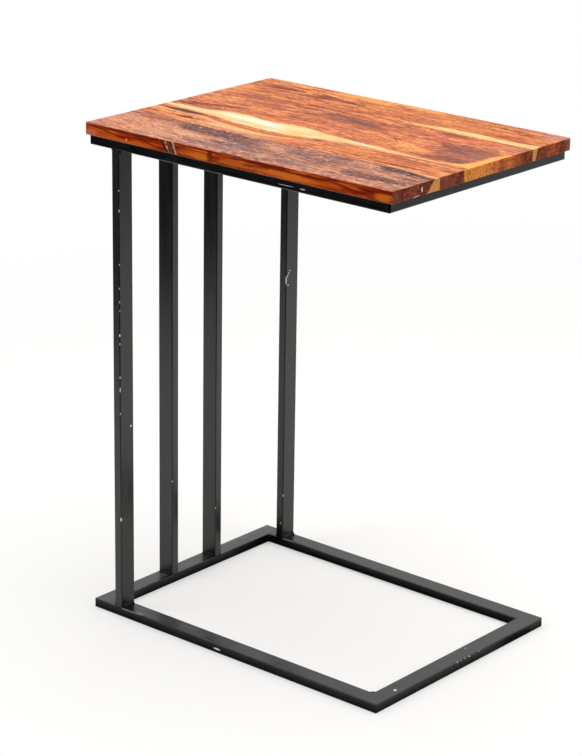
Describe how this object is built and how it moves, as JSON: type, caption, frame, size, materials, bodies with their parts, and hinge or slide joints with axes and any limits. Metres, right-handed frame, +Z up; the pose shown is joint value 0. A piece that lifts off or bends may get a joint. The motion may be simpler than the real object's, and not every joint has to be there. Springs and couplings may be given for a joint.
{
  "type": "c shaped side table",
  "caption": "Rectangular wooden top on a welded C shaped frame of flat black steel tube; the open base slides under a sofa or bed while the top reaches over it.",
  "frame": {"origin": "on the floor, under the middle of the wooden top", "axes": "+X from the closed side with the uprights to the open side, +Y from the front to the back, +Z up"},
  "size_m": [0.5, 0.362, 0.671],
  "materials": {
    "oiled_hardwood": "satin oiled, red-brown with cream sapwood streaks",
    "black_paint": "satin black powder coat with small chips",
    "zinc_screw": "bright zinc"
  },
  "bodies": {
    "root": {"top_board_1": "oiled_hardwood", "top_board_2": "oiled_hardwood", "top_board_3": "oiled_hardwood", "top_board_4": "oiled_hardwood", "top_rail_front": "black_paint", "top_rail_open": "black_paint", "top_rail_back": "black_paint", "top_rail_closed": "black_paint", "base_rail_front": "black_paint", "base_rail_open": "black_paint", "base_rail_back": "black_paint", "base_rail_closed": "black_paint", "upright_front": "black_paint", "upright_mid_front": "black_paint", "upright_mid_back": "black_paint", "upright_back": "black_paint", "top_corner_welds": "black_paint", "base_corner_welds": "black_paint", "head_welds": "black_paint", "foot_welds": "black_paint", "top_screws": "zinc_screw"}
  },
  "joints": []
}
